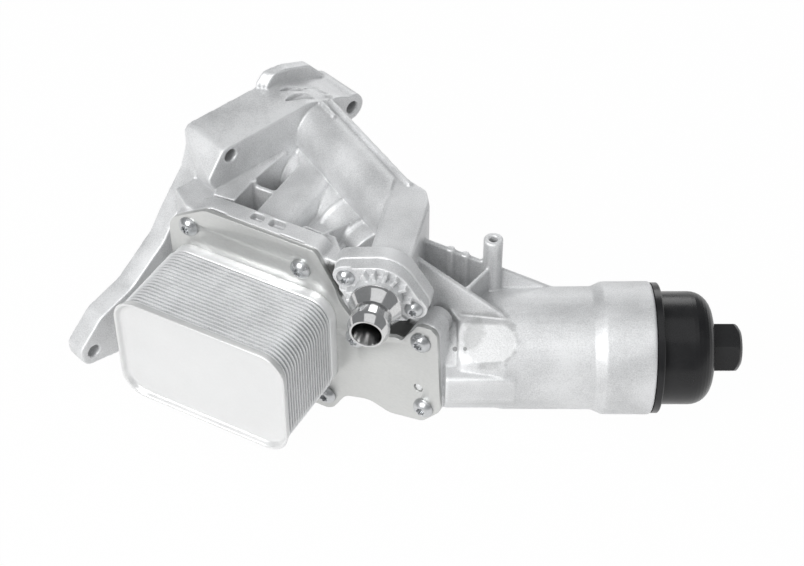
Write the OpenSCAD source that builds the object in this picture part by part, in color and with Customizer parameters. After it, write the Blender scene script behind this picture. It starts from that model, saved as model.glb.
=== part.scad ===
// Oil filter housing with a plate oil cooler, a coolant nipple and a screw-in filter cap.
// The origin is the upper left bolt hole, on the face that bolts to the engine block.
// X runs along the filter bowl towards its cap, Y runs away from the front, Z is up.

/* [Places] */
// Filter bowl's mouth, to the right of the first bolt hole
mouth_x = 266; // [263:1:269]
// Filter bowl's mouth, in front of the first bolt hole
mouth_front = 98; // [96:1:100]
// Filter bowl's axis, below the first bolt hole
mouth_drop = 84; // [82:1:86]
// Turn of the oil cooler about the vertical, in degrees
cooler_turn = 28.5; // [27.5:0.5:29.5]
// Turn of the bolting face about the vertical, in degrees
block_turn = 43; // [42:0.5:44]
// Turn of the coolant neck about the vertical, in degrees
neck_turn = 12; // [11:0.5:13]

/* [Bolting bracket] */
// Depth of the bracket along its bolts
bracket_deep = 34; // [32:0.5:36]
// Depth of the arm and its lug along the bolt
arm_deep = 14; // [12:0.5:16]
// Clearance hole for the block bolts
bolt_hole_d = 8.4; // [8.2:0.1:9]
// Second bolt hole, along the bracket
second_hole_x = 94; // [92:0.5:96]
// Second bolt hole, below the first
second_hole_drop = 14; // [12:0.5:16]
// Lug's bolt hole, back along the bracket
lug_hole_x = 98; // [96:0.5:100]
// Lug's bolt hole, below the first
lug_hole_drop = 108; // [106:0.5:110]
// Radius of the metal round a bolt hole
bolt_boss_r = 9; // [8.5:0.25:10]
// Top of the bracket above the first hole
bracket_top = 7; // [6.5:0.25:8]

/* [Coolant duct] */
// Outer radius of the round duct
duct_r = 17; // [16:0.25:18]
// Bore radius of the round duct
duct_bore_r = 12; // [10:0.25:13]
// Duct's centre, along the bracket from the first hole
duct_x = 66; // [64:0.5:68]
// Duct's centre, below the first hole
duct_drop = 14; // [13:0.5:15]
// Length of the duct from the bracket to the elbow
duct_long = 102; // [100:0.5:104]
// Turn of the duct about the vertical, in degrees
duct_turn = 33.5; // [32.5:0.5:34.5]
// Fall of the duct towards the elbow, in degrees
duct_fall = 4; // [3.5:0.25:4.5]
// Top of the port flange, above the first bolt hole
ear_top = 16; // [15:0.25:17]
// Thickness of the port flange
ear_thick = 7; // [6:0.25:9]

/* [Coolant neck] */
// Width of the channel behind the neck
neck_wide = 24; // [23:0.5:26]
// Height of the channel behind the neck
neck_high = 28; // [26:0.5:29]
// Length of the channel from the neck flange to the elbow
neck_long = 80; // [78:0.5:82]
// Spacing of the two neck flange screws
neck_screw_gap = 41.6; // [40.5:0.1:43]
// Radius of the round pad under the neck flange
neck_pad_r = 20; // [19:0.25:21]
// Bore radius of the nipple
nipple_bore_r = 8.2; // [7.5:0.1:9]
// Outer radius of the nipple's bead under the hose
bead_r = 11.7; // [11.4:0.1:12]
// Reach of the nipple in front of the neck pad
nipple_long = 40; // [38:0.5:42]

/* [Oil cooler] */
// Length of the brazed plate stack
stack_wide = 111; // [108:0.5:112]
// Height of the brazed plate stack
stack_high = 72; // [70:0.5:73]
// Depth of the foot plate of the stack
foot_deep = 7; // [6:0.25:8]
// Number of plates in the stack
plate_count = 19; // [17:1:21]
// Pitch of the plates
plate_pitch = 2.6; // [2.4:0.05:2.7]
// Corner radius of the stack
stack_corner_r = 15; // [13:0.5:17]
// Thickness of the base plate
base_thick = 3; // [2.5:0.1:4]
// Depth of the rim of the front cover
cover_rim = 3.5; // [2.5:0.1:4.5]
// Thickness of the cast flange under the base plate
flange_thick = 12; // [11:0.25:14]

/* [Filter bowl] */
// Outer radius of the bowl
bowl_r = 35.6; // [35:0.1:36.5]
// Outer radius of the collar round the mouth
collar_r = 38.8; // [38.4:0.1:40]
// Length of the collar
collar_long = 28.5; // [26:0.5:31]
// Radius of the bowl's chamber
chamber_r = 30.8; // [30.2:0.1:31.2]
// Radius of the seat for the cap's thread
thread_r = 34; // [33.6:0.1:34.4]
// Depth of the seat for the cap's thread
thread_deep = 22; // [20:0.5:24]
// Depth of the chamber behind the mouth
chamber_deep = 80; // [78:0.5:82]
// Length of the bowl casting behind the mouth
bowl_long = 112; // [110:0.5:114]

/* [Filter cap] */
// Outer radius of the cap
cap_r = 32.9; // [32.3:0.1:33.5]
// Reach of the cap's cup past the mouth
cap_long = 35; // [34:0.5:38]
// Radius of the cap's rounded shoulder
cap_shoulder_r = 13; // [10:0.5:15]
// Wall of the cap
cap_wall = 3.2; // [2.6:0.1:4]
// Spanner size across the hexagon
hex_af = 27; // [24:0.5:30]
// Length of the hexagon
hex_long = 17.5; // [15:0.5:20]
// Radial clearance of the cap's thread in the bowl
thread_gap = 0.35; // [0.3:0.05:0.5]

/* [Filter element] */
// Outer radius of the pleats
pleat_r = 27.5; // [26:0.25:28]
// Inner radius of the pleats
pleat_core_r = 15; // [14.6:0.1:16]
// Number of pleats
pleat_count = 36; // [24:1:44]
// Thickness of the element's end caps
end_thick = 3; // [2:0.25:4]
// Radius of the support cage
cage_r = 13.2; // [12.8:0.1:13.8]
// Wall of the support cage
cage_wall = 2; // [1.6:0.1:2.4]

/* [Valves] */
// Radius of the check valve's pocket
check_pocket_r = 9; // [8.5:0.1:10]

/* [Screws and post] */
// Head radius of the pan head screws
screw_head_r = 6.3; // [6:0.1:6.6]
// Shank radius of the pan head screws
screw_r = 3; // [2.8:0.1:3.2]
// Height of the tapped post
post_top_drop = 17; // [15:0.5:19]
// Radius of the tapped post
post_r = 5.6; // [5.2:0.1:6.2]
// Tapping hole radius in the post
post_hole_r = 2.5; // [2.3:0.1:2.7]

/* [Hidden] */
$fn = 48;
fit_gap = 0.3;
face_gap = 0.05;
lap = 1;

// Round corners of an outline: each point is [x, y, corner radius].
corner_steps = 6;
function unit(v) = v / norm(v);
function turn_of(v) = atan2(v[1], v[0]);
function corner(a, b, c) =
    let (
        p = [b[0], b[1]],
        u = unit([a[0], a[1]] - p),
        w = unit([c[0], c[1]] - p),
        half = acos(max(-1, min(1, u * w))) / 2,
        back = b[2] / tan(half),
        centre = p + unit(u + w) * b[2] / sin(half),
        from = turn_of(p + u * back - centre),
        raw = turn_of(p + w * back - centre) - from,
        sweep = raw - 360 * round(raw / 360)
    )
    b[2] <= 0 ? [p] : [for (i = [0 : corner_steps])
        centre + b[2] * [cos(from + sweep * i / corner_steps), sin(from + sweep * i / corner_steps)]];
function rounded(pts) = [for (i = [0 : len(pts) - 1])
    each corner(pts[(i + len(pts) - 1) % len(pts)], pts[i], pts[(i + 1) % len(pts)])];
function box_outline(w, h, r) = rounded([[-w / 2, -h / 2, r], [w / 2, -h / 2, r], [w / 2, h / 2, r],
    [-w / 2, h / 2, r]]);

// Frames of the main parts, all from the first bolt hole.
bowl_at = [mouth_x, -mouth_front, -mouth_drop];
cooler_at = bowl_at + [-123, -30, 0];
neck_at = bowl_at + [-155, -20, 66];
module at_bowl() translate(bowl_at) children();
module at_cooler() translate(cooler_at) rotate([0, 0, -cooler_turn]) children();
module at_neck() translate(neck_at) rotate([0, 0, -neck_turn]) children();
module at_block() rotate([0, 0, block_turn]) children();
// Extrude a front view outline backwards, from one depth to another.
module front_slab(from, to) translate([0, to, 0]) rotate([90, 0, 0]) linear_extrude(to - from) children();
// Round bar or bore along Y, from one depth to another.
module along_y(r, from, to) translate([0, to, 0]) rotate([90, 0, 0]) cylinder(r = r, h = to - from);
// Ring or body turned about the bowl's axis, drawn as [radius, distance from the mouth].
module turned(pts) rotate([0, 90, 0]) rotate_extrude($fn = 96) polygon(pts);
module along_x(r, from, to) translate([from, 0, 0]) rotate([0, 90, 0])
    cylinder(r = r, h = to - from, $fn = 96);
// Round bar or drilling from one point to another.
module drilling(a, b, r) {
    run = b - a;
    translate(a) rotate([0, acos(run[2] / norm(run)), turn_of(run)]) cylinder(r = r, h = norm(run));
}
// Upright wall between two plan points, with its own top height at each end.
module rib(a, b, top_a, top_b, low, thick) {
    run = [b[0] - a[0], b[1] - a[1]];
    translate([a[0], a[1], 0]) rotate([0, 0, turn_of(run)]) rotate([90, 0, 0])
        linear_extrude(thick, center = true)
            polygon([[0, low], [norm(run), low], [norm(run), top_b], [0, top_a]]);
}

// Bracket and arm outline on the bolting face, in the block frame.
module bracket_outline() {
    polygon(rounded([[-5, bracket_top, 5], [60, bracket_top, 30], [85, -1.5, 12], [101, -9.5, 3],
        [100.5, -17.5, 3], [92, -23, 4], [70, -34, 4], [10, -34, 4], [-13, -20, 3], [-17.5, -9.5, 3]]));
}
module arm_outline() {
    polygon(rounded([[-8, bracket_top + 2, 3], [-6.5, -4, 12], [-13, -21, 12], [-27.5, -38.5, 12],
        [-40, -56, 14], [-66, -77, 20],
        [-90, -86, 14], [-lug_hole_x - 9, -lug_hole_drop + 5, 6], [-lug_hole_x - 8, -lug_hole_drop - 8, 7],
        [-lug_hole_x + 22, -lug_hole_drop - 13, 8], [-62, -100, 14], [-30, -78, 12], [0, -50, 10],
            [20, -34, 5],
        [20, -10, 3]]));
}
// Pad for the two oil ports on the block face, below the bracket
port_pad_deep = 30;
module port_pad_outline() polygon(rounded([[6, -28, 0], [70, -28, 0], [66, -50, 10], [42, -82, 14],
    [12, -82, 14], [4, -56, 8]]));
module bolt_holes() {
    for (p = [[0, 0], [second_hole_x, -second_hole_drop], [-lug_hole_x, -lug_hole_drop]])
        translate([p[0], 0, p[1]]) along_y(bolt_hole_d / 2, -bracket_deep - lap, lap);
}
// Port flange on the block face, in three thin steps at its left end
flange_step = 1.6;
module port_flange() {
    for (i = [0 : 2]) front_slab(-ear_thick * (3 - i) / 3, 0)
        polygon(rounded([[50 - flange_step * i, 0, 0], [50 - flange_step * i, ear_top - 6, 3],
            [56 - flange_step * i, ear_top, 6],
            [67, ear_top - 1.5, 10], [84, 8.3, 8], [95, -4, 3], [98, -10, 0], [60, -12, 0]]));
}
// Crescent pockets on the bracket's top, left and right of a thin wall over the duct
pocket_wall = 69;
module crescent_pockets() {
    translate([0, 0, 3.4]) linear_extrude(20) {
        polygon(rounded([[50, -21.9, 0.5], [60, -20.6, 12], [pocket_wall - 1.2, -23.6, 0.5],
            [pocket_wall - 1.2, -29.6, 0.5], [57.5, -26.2, 12]]));
        polygon(rounded([[54, -12, 0.5], [62, -11.8, 8], [pocket_wall - 1.2, -14.6, 0.5],
            [pocket_wall - 1.2, -20, 0.5], [61, -15.8, 10]]));
    }
    translate([0, 0, -0.6]) linear_extrude(20) {
        polygon(rounded([[pocket_wall + 1.2, -16.6, 0.5], [79.5, -20.6, 0.5], [80.2, -27.6, 0.5],
            [pocket_wall + 1.2, -20.6, 0.5]]));
        polygon(rounded([[pocket_wall + 1.2, -24.6, 0.5], [81, -30.2, 0.5], [79, -33, 0.5],
            [pocket_wall + 1.2, -31, 0.5]]));
    }
}
bracket_end_front = 17;
bracket_end_back = 7.5;
module bracket() {
    at_block() {
        difference() {
            front_slab(-bracket_deep, 0) bracket_outline();
            // The end face leans in towards the block
            translate([0, 0, -60]) linear_extrude(120)
                polygon([[-bracket_end_front, -bracket_deep], [-bracket_end_back, 0],
                [-bracket_end_back, lap], [-40, lap], [-40, -bracket_deep - lap],
                    [-bracket_end_front, -bracket_deep - lap]]);
            crescent_pockets();
        }
        front_slab(-arm_deep, 0) arm_outline();
        port_flange();
        front_slab(-port_pad_deep, 0) port_pad_outline();
        translate([second_hole_x, 0, -second_hole_drop]) along_y(bolt_boss_r, -bracket_deep, 0);
    }
}

// Round coolant duct with its casting rails, falling towards the elbow.
module at_duct() at_block() translate([duct_x, -bracket_deep, -duct_drop])
    rotate([0, 0, duct_turn - block_turn]) rotate([duct_fall, 0, 0]) children();
rail_wide = 3;
rail_out = 3;
rail_lean = 29;
rail_long = 86;
module duct() {
    difference() {
        at_duct() along_y(duct_r, -duct_long, bracket_deep / 2);
        elbow_trim();
    }
    at_duct() {
        rotate([0, rail_lean, 0]) translate([-rail_wide / 2, -rail_long, 0])
            cube([rail_wide, rail_long + lap, duct_r + rail_out]);
        rotate([0, rail_lean / 3, 0]) translate([-rail_wide / 2, -14, 0])
            cube([rail_wide, 14 + lap, duct_r + rail_out / 2]);
    }
}

// Channel from the elbow to the neck flange pad, its top edges rounded
channel_mid = 2.2;
channel_edge_r = 4;
module neck_channel() {
    at_neck() translate([channel_mid, 0, 0]) intersection() {
        translate([0, 0, -neck_high]) linear_extrude(2 * neck_high)
            polygon(rounded([[-neck_wide / 2, 6, 0], [neck_wide / 2, 6, 0],
                [neck_wide / 2 + 1, neck_long - 21, 10],
                [neck_wide / 2 - 3.5, neck_long - 9, 8], [-neck_wide / 2 + 5, neck_long, 6],
                    [-neck_wide / 2, neck_long - 3, 2]]));
        front_slab(0, neck_long + lap) polygon(rounded([[-neck_wide / 2 - lap, -neck_high / 2, 0],
            [neck_wide / 2 + 2, -neck_high / 2, 0], [neck_wide / 2 + 2, neck_high / 2, channel_edge_r],
            [-neck_wide / 2 - lap, neck_high / 2, channel_edge_r]]));
    }
}
// Trims the round duct just inside the channel's right face and top
module elbow_trim() {
    at_neck() translate([channel_mid, 0, -neck_high * 2]) linear_extrude(neck_high * 4)
        polygon([[neck_wide / 2 - 0.5, 0], [neck_wide / 2 + 0.5, neck_long - 21],
            [neck_wide / 2 - 4.5, neck_long - 4],
            [neck_wide / 2 - 4.5, neck_long + 60], [neck_wide / 2 + 80, neck_long + 60],
                [neck_wide / 2 + 80, 0]]);
    at_neck() translate([channel_mid - neck_wide / 2 + 1, 0, neck_high / 2 - 1])
        cube([neck_wide, neck_long - 4, 20]);
}
pad_front = 3;
pad_deep = 9.8;
neck_screw_lean = 23.5;
lobe_r = 8;
tangent_at = acos((neck_pad_r - lobe_r) / (neck_screw_gap / 2));
tangent_sink = 0.05;
module at_pad() at_neck() translate([0, pad_front, 0]) children();
module neck_outline(grow) {
    circle(r = neck_pad_r + grow);
    rotate(-neck_screw_lean) {
        for (s = [-1, 1]) translate([s * neck_screw_gap / 2, 0]) circle(r = lobe_r + grow);
        polygon([for (q = [[1, 1], [-1, 1], [-1, -1], [1, -1]],
            r = q[0] * q[1] > 0 ? [lobe_r, neck_pad_r] : [neck_pad_r, lobe_r])
            let (reach = r + grow - tangent_sink)
            [q[0] * ((r == lobe_r ? neck_screw_gap / 2 : 0) + reach * cos(tangent_at)),
                q[1] * reach * sin(tangent_at)]]);
    }
}
module neck_pad() at_pad() front_slab(0, pad_deep) neck_outline(0);
module neck_screw_places() at_pad() rotate([0, neck_screw_lean, 0])
    for (s = [-1, 1]) translate([s * neck_screw_gap / 2, 0, 0]) children();

// Cooler flange: the base plate's outline, also used by the cast flange behind it.
plate_top = 68;
notch_r = 27;
notch_at = [-40, 49];
plate_corner = [[-153, plate_top, 10], [-79, plate_top, 6], [-58, 28, 3], [-24, 24, 3], [-14, 41, 7],
    [-1.5, 41, 6], [1.5, -22, 8], [-10, -35.5, 8], [-32, -39.5, 14], [-46, -35, 16], [-62, -40, 10],
    [-72, -57, 9], [-150, -57, 10], [-179, -45, 12], [-179, 52, 14]];
module base_outline() difference() {
    polygon(rounded(plate_corner));
    translate(notch_at) circle(r = notch_r);
}
screw_spots = [[-164.7, 51.5], [-89, 51], [-53.7, 12.5], [-11.4, 28.7], [-9.4, -23.6], [-75, -45],
    [-160, -45]];
dowel_at = [-13, -9];
dowel_r = 2.6;
// Ports in the base plate: oil in, coolant in, coolant out, and oil out into the open trough
port_r = 6;
port_level = 18;
port_spots = [[-156, port_level], [-121, port_level], [-90, port_level]];
trough_port = [-92, -11];
// Oil ports on the block face, along the bracket and below the first bolt hole
oil_in_at = [26, -66];
oil_out_at = [48, -44];
oil_bore_r = 7;
tube_wall = 4;
module cooler_flange() {
    at_cooler() {
        front_slab(base_thick, base_thick + flange_thick) base_outline();
        translate([dowel_at[0], 0, dowel_at[1]]) along_y(dowel_r, fit_gap * 2, base_thick + lap);
        translate([-89, 0, 51]) along_y(9, base_thick, 24);
    }
}
// Upright faces of the flange join the bracket, the ducts and the bowl by this table of cast walls.
table_top = 62;
table_low = 22;
function cooler_point(l, back) = [cooler_at[0] + l * cos(cooler_turn) + back * sin(cooler_turn),
    cooler_at[1] - l * sin(cooler_turn) + back * cos(cooler_turn)];
function block_point(along, back) = [along * cos(block_turn) - back * sin(block_turn),
    along * sin(block_turn) + back * cos(block_turn)];
module table() {
    z0 = bowl_at[2] + table_low;
    difference() {
        union() {
            translate([0, 0, z0]) linear_extrude(table_top - table_low)
                polygon([cooler_point(-168, base_thick + lap), cooler_point(-60, base_thick + lap),
                    cooler_point(-78, 22),
                    cooler_point(-84, 96), block_point(84, -bracket_deep + lap),
                        block_point(0, -bracket_deep + lap),
                    block_point(-8, -arm_deep - lap), block_point(-22, -arm_deep + lap),
                        block_point(-27, -arm_deep + lap)]);
            // Shelf along the bracket, a little above the table
            translate([0, 0, z0]) linear_extrude(table_top - table_low + 4)
                polygon([block_point(-11, -bracket_deep + lap), cooler_point(-158, 17),
                    cooler_point(-144, 18), block_point(40, -bracket_deep - 2),
                    block_point(40, -bracket_deep + lap)]);
        }
        table_pockets(z0);
    }
}
module table_pockets(z0) {
    at_cooler() translate([0, 0, z0 - cooler_at[2] + 10]) linear_extrude(60) {
        polygon(rounded([[-144, 14, 5], [-130.5, 14, 3], [-130.5, 38, 1], [-144, 38, 1]]));
        polygon(rounded([[-144, 41, 1], [-130.5, 41, 1], [-130.5, 70, 2], [-139, 82, 2]]));
        polygon(rounded([[-97.4, 17.6, 1.5], [-84, 17.6, 1.5], [-84, 22, 1], [-97.4, 22, 1]]));
    }
    // Rounded right edge of the rectangular duct
    at_cooler() front_slab(16, 72) polygon([[-114, table_top], [-114, table_top + 4],
        [-100, table_top + 4], [-100, 52],
        [-106, 52], [-106.4, table_top - 6], [-108, table_top - 2.6], [-110.6, table_top - 0.7]]);
    // Hollows under the rectangular duct and the deck
    at_cooler() translate([0, 0, z0 - cooler_at[2] - lap]) {
        linear_extrude(table_top - table_low - 7)
            polygon(rounded([[-126, 20, 3], [-111, 20, 3], [-111, 60, 3], [-126, 66, 3]]));
        linear_extrude(20) polygon(rounded([[-102, 26, 3], [-76, 26, 3], [-76, 84, 3], [-102, 62, 3]]));
    }
    // Lower deck between the rectangular duct and the round duct
    at_cooler() translate([0, 0, z0 - cooler_at[2] + 26]) linear_extrude(60)
        polygon(rounded([[-106, 23, 0], [-70, 23, 0], [-70, 90, 0], [-106, 66, 4]]));
}
// Windows in the strip over the flange, and two slits behind the base plate's top edge
window_deep = 5;
module strip_cuts() {
    at_cooler() translate([0, 0, plate_top - window_deep]) linear_extrude(window_deep + lap) {
        polygon(rounded([[-127, 7.4, 1.5], [-118, 7.4, 1.5], [-119.4, 13, 1.5], [-126.6, 13, 1.5]]));
        polygon(rounded([[-114.6, 7.2, 1.5], [-104, 7.2, 1.5], [-105.4, 13.4, 1.5], [-114.6, 13.4, 1.5]]));
        translate([-151, base_thick - lap]) square([11, lap + 1.2]);
        translate([-104, base_thick - lap]) square([15.5, lap + 1.2]);
    }
}

// Bowl, collar and the solid root between the chamber and the cooler flange.
bowl_end_r = 31;
module bowl_body() {
    at_bowl() {
        turned([[0, -bowl_long], [bowl_end_r - 2, -bowl_long], [bowl_end_r, -bowl_long + 2],
            [bowl_r, -bowl_long + 26],
            [bowl_r + 0.2, -collar_long - 6], [collar_r - 0.2, -collar_long], [collar_r, -lap],
                [collar_r - lap, 0], [0, 0]]);
        along_x(bowl_end_r - 4, -119, -bowl_long + 2);
    }
}
// Sloping face between the root wall's top and the bulge's front edge
root_face_at = [-116.4, -0.9, 35.1];
root_face_tilt = 41.77;
root_face_turn = -108.94;
module root_cutter() {
    at_bowl() translate(root_face_at) rotate([0, root_face_tilt, root_face_turn])
        translate([-60, -60, 0]) cube([120, 120, 60]);
}
mouth_plan = [bowl_at[0], bowl_at[1]];
bulge_top = 10;
module bulge() {
    at_bowl() translate([-119, 0, 0]) rotate([90, 0, 90]) linear_extrude(39)
        polygon(rounded([[-36, bulge_top, 3], [-36, -8, 12], [-24, -26, 10], [2, -34, 0],
            [2, bulge_top, 0]]));
}
module bowl_links() {
    // Web between the flange and the bowl's root
    at_bowl() translate([0, 0, -24]) linear_extrude(24 + bulge_top)
        polygon([cooler_point(-46, 10) - mouth_plan, cooler_point(-2, 8) - mouth_plan, [-114, -16],
            [-110, 24], [-126, 24]]);
    // Web that closes the recess under the neck
    at_bowl() translate([0, 0, floor_high - 8]) linear_extrude(7)
        polygon([cooler_point(-66, 13) - mouth_plan, cooler_point(-12, 13) - mouth_plan, [-112, -4],
            [-112, 24], [-150, 24]]);
    // Wall from the neck pad along the root to the bowl
    at_bowl() translate([-118.4, 0.9, 0]) rotate([90, 0, -42.1]) linear_extrude(rib_thick, center = true)
        polygon([[-17, 8], [-17, 36.5], [-5, 36], [2.7, 35.1], [8.8, 31.2], [15.6, 27.8], [25.4, 25.5],
            [32, 23.5], [32, 8]]);
}
floor_high = 20;
module bowl_floor() {
    // Floor under the ribs, from the neck channel to the bowl
    at_bowl() translate([0, 0, floor_high - 8]) linear_extrude(8)
        polygon([[-150, -4], [-118, -2], [-104, -8], [-70, -4], [-60, 22], [-92, 27], [-136, 26]]);
}
rib_thick = 3;
post_at = [-92, 20];
module ribs() {
    at_bowl() {
        rib([-136, 20], [-56, 20], 69.5, 29, 12, rib_thick);
        rib([-140, 5.5], [-82, -10.3], 70.5, 33.5, 12, rib_thick);
        rib(post_at, [-107.6, -3.2], 47.5, 50, 12, rib_thick - 0.6);
        rib([-110, -2.8], [-118.5, 0.5], 47, 36.5, 12, rib_thick - 0.6);
        for (x = [-116, -107.6]) translate([x, 20, 18])
            cylinder(r = 2.6, h = 69.5 - 18 - (x + 136) * 40.5 / 80 + 0.6);
        translate([post_at[0], post_at[1], 18]) cylinder(r = post_r, h = 84 - post_top_drop - 18);
    }
}
// Tapped bosses behind the base plate's screws
boss_r = 8;
module screw_bosses() {
    at_cooler() {
        translate([screw_spots[3][0], 0, screw_spots[3][1]]) along_y(boss_r, base_thick, 24);
        translate([screw_spots[2][0], 0, screw_spots[2][1]]) along_y(boss_r, base_thick, 26);
        translate([screw_spots[4][0], 0, screw_spots[4][1]]) along_y(boss_r, base_thick, 20);
    }
}
// Lower tube, which brings the filtered oil back to the block beside the round duct
lower_tube_r = 17;
lower_tube_at = [-16, -26];
lower_tube_long = 88;
tube_ring_spots = [-56, -76];
tube_ring_out = 1.2;
tube_ring_wide = 2.4;
oil_turn_at = bowl_at + [-171.4, 54.4, 39.4];
module lower_tube() {
    at_duct() translate([lower_tube_at[0], 0, lower_tube_at[1]]) {
        along_y(lower_tube_r, -lower_tube_long, bracket_deep / 2);
        for (y = tube_ring_spots) along_y(lower_tube_r + tube_ring_out, y, y + tube_ring_wide);
    }
    // Thin gusset from the strip to the second ring
    at_bowl() rib(cooler_point(-86, 14) - mouth_plan, [-174, 47.8], 66, 56, 20, 2);
    drilling(bowl_at + [-100, 4, 2], oil_turn_at, oil_bore_r + tube_wall);
}
// Plan point where a port's passage, straight back from the cooler, passes under the round duct
coolant_cross = [[-121, 91], [-90, 73]];
riser_r = 5.2;
riser_long = 46;
module port_tubes() {
    at_cooler() {
        translate([port_spots[0][0], 0, port_level]) along_y(port_r + tube_wall, base_thick + lap, 62);
        for (p = coolant_cross) {
            translate([p[0], 0, port_level]) along_y(port_r + tube_wall, base_thick + lap, p[1]);
            translate([p[0], p[1], port_level - riser_r]) cylinder(r = riser_r + tube_wall, h = riser_long);
        }
    }
}
module port_bores() {
    at_cooler() {
        translate([port_spots[0][0], 0, port_level]) along_y(port_r, base_thick - lap, 61);
        for (p = coolant_cross) {
            translate([p[0], 0, port_level]) along_y(port_r, base_thick - lap, p[1]);
            translate([p[0], p[1], port_level + lap]) cylinder(r = riser_r, h = riser_long - 8);
        }
    }
    at_block() translate([oil_in_at[0], 0, oil_in_at[1]]) along_y(oil_bore_r, -port_pad_deep + 4, lap);
    at_block() translate([oil_out_at[0], 0, oil_out_at[1]]) along_y(oil_bore_r, -bracket_deep - 2, lap);
    at_duct() translate([lower_tube_at[0], 0, lower_tube_at[1]])
        along_y(oil_bore_r, -lower_tube_long + 14, 1);
}

tap_deep = 20;
module screw_taps() {
    at_cooler() for (p = screw_spots) translate([p[0], 0, p[1]])
        along_y(screw_r, -lap, base_thick + tap_deep);
    neck_screw_places() along_y(screw_r, -lap, pad_deep + lap);
    at_bowl() translate([post_at[0], post_at[1], 84 - post_top_drop - 16])
        cylinder(r = post_hole_r, h = 16 + lap);
}
// Passages: coolant from the block through the duct, elbow and channel to the neck.
channel_bore_r = 9.5;
duct_bore_long = 86;
module coolant_passages() {
    at_block() translate([duct_x, 0, -duct_drop]) along_y(duct_bore_r, -bracket_deep, lap);
    at_duct() along_y(duct_bore_r - 0.5, -duct_bore_long, 2);
    at_pad() {
        along_y(channel_bore_r, -lap, neck_long - 15);
        along_y(spigot_r + face_gap, -lap, spigot_deep + fit_gap);
        along_y(collar_seat_r + face_gap, -lap, collar_thick);
    }
}
// Nipple's spigot in the channel, with a collar that the flange holds down
spigot_r = 11.7;
spigot_deep = 10;
collar_seat_r = 14.4;
collar_thick = 1.6;
nipple_neck_r = 11;
// Oil from the cooler runs in an open trough behind the base plate to the check valve.
trough_deep = 7;
check_at = [-17, -9];
check_seat = chamber_deep + 14;
module oil_passages() {
    at_cooler() front_slab(base_thick - lap, base_thick + trough_deep)
        polygon(rounded([[-100, -20, 5], [-26, -20, 5], [-26, -2, 5], [-100, -2, 5]]));
    at_bowl() translate([0, check_at[0], check_at[1]])
        along_x(check_pocket_r, -check_seat, -chamber_deep + lap);
    drilling(bowl_at + [-147.3, -9.9, check_at[1]], bowl_at + [-check_seat + lap, -16.5, check_at[1]], 4.5);
    at_bowl() along_x(outlet_r, -chamber_deep - outlet_deep, -chamber_deep + lap);
    drilling(bowl_at + [-chamber_deep - outlet_deep + 4, 1, 1], oil_turn_at, oil_bore_r - 0.5);
}
module chamber() {
    at_bowl() turned([[0, -chamber_deep], [chamber_r, -chamber_deep], [chamber_r, -thread_deep],
        [thread_r, -thread_deep + 2], [thread_r, lap], [0, lap]]);
}
outlet_r = 8.6;
outlet_deep = 16;

// Seal grooves on the flange face and the block face
seal_w = 3;
seal_deep = 2.2;
groove_gap = 0.2;
land = 2.5;
module channel_ring(gap) {
    mid = [-63, -11];
    translate(mid) difference() {
        polygon(box_outline(74 + 2 * (land + seal_w + gap), 18 + 2 * (land + seal_w + gap),
            5 + land + seal_w));
        polygon(box_outline(74 + 2 * (land - gap), 18 + 2 * (land - gap), 5 + land));
    }
}
module port_ring(bore_r, gap, from, to)
    along_y_ring(bore_r + land - gap, bore_r + land + seal_w + gap, from, to);
module grooves() {
    at_cooler() {
        front_slab(base_thick - lap, base_thick + seal_deep) channel_ring(groove_gap);
        for (p = port_spots) translate([p[0], 0, p[1]])
            port_ring(port_r, groove_gap, base_thick - lap, base_thick + seal_deep);
    }
    at_block() {
        translate([duct_x, 0, -duct_drop]) port_ring(duct_bore_r, groove_gap, -seal_deep, lap);
        for (p = [oil_in_at, oil_out_at]) translate([p[0], 0, p[1]])
            port_ring(oil_bore_r, groove_gap, -seal_deep, lap);
    }
}
module along_y_ring(inner, outer, from, to) translate([0, to, 0]) rotate([90, 0, 0])
    linear_extrude(to - from) difference() {
    circle(r = outer);
    circle(r = inner);
}

module housing() {
    color("silver") difference() {
        union() {
            bracket();
            duct();
            neck_channel();
            neck_pad();
            cooler_flange();
            table();
            difference() {
                union() {
                    bowl_body();
                    bowl_floor();
                }
                root_cutter();
            }
            bulge();
            bowl_links();
            ribs();
            screw_bosses();
            lower_tube();
            port_tubes();
        }
        at_block() bolt_holes();
        screw_taps();
        coolant_passages();
        oil_passages();
        port_bores();
        strip_cuts();
        chamber();
        grooves();
    }
}

// Oil cooler
stack_mid = [-121.5, 2];
module stack_slab(w, h, r, from, to) at_cooler() translate([stack_mid[0], 0, stack_mid[1]])
    front_slab(from, to) polygon(box_outline(w, h, r));
module cooler_base_plate() {
    color("gainsboro") difference() {
        at_cooler() front_slab(0, base_thick) base_outline();
        at_cooler() {
            for (p = screw_spots) translate([p[0], 0, p[1]])
                along_y(screw_r + fit_gap, -lap, base_thick + lap);
            translate([dowel_at[0], 0, dowel_at[1]]) along_y(dowel_r + fit_gap, -lap, base_thick + lap);
            for (p = concat(port_spots, [trough_port])) translate([p[0], 0, p[1]])
                along_y(port_r, -lap, base_thick + lap);
        }
    }
}
module cooler_foot_plate() {
    color("silver") difference() {
        stack_slab(stack_wide - 1, stack_high - 1, stack_corner_r, -foot_deep, 0);
        at_cooler() for (p = concat(port_spots, [trough_port])) translate([p[0], 0, p[1]])
            along_y(port_r, -foot_deep - lap, lap);
    }
}
core_front = -foot_deep - plate_count * plate_pitch;
module cooler_core_plates() {
    color("silver") {
        stack_slab(stack_wide - 4, stack_high - 4, stack_corner_r - 2, core_front, -foot_deep);
        for (i = [0 : plate_count - 1])
            stack_slab(stack_wide, stack_high, stack_corner_r, core_front + i * plate_pitch,
                core_front + i * plate_pitch + plate_pitch * 0.45);
    }
}
cover_skin = 1.5;
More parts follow.
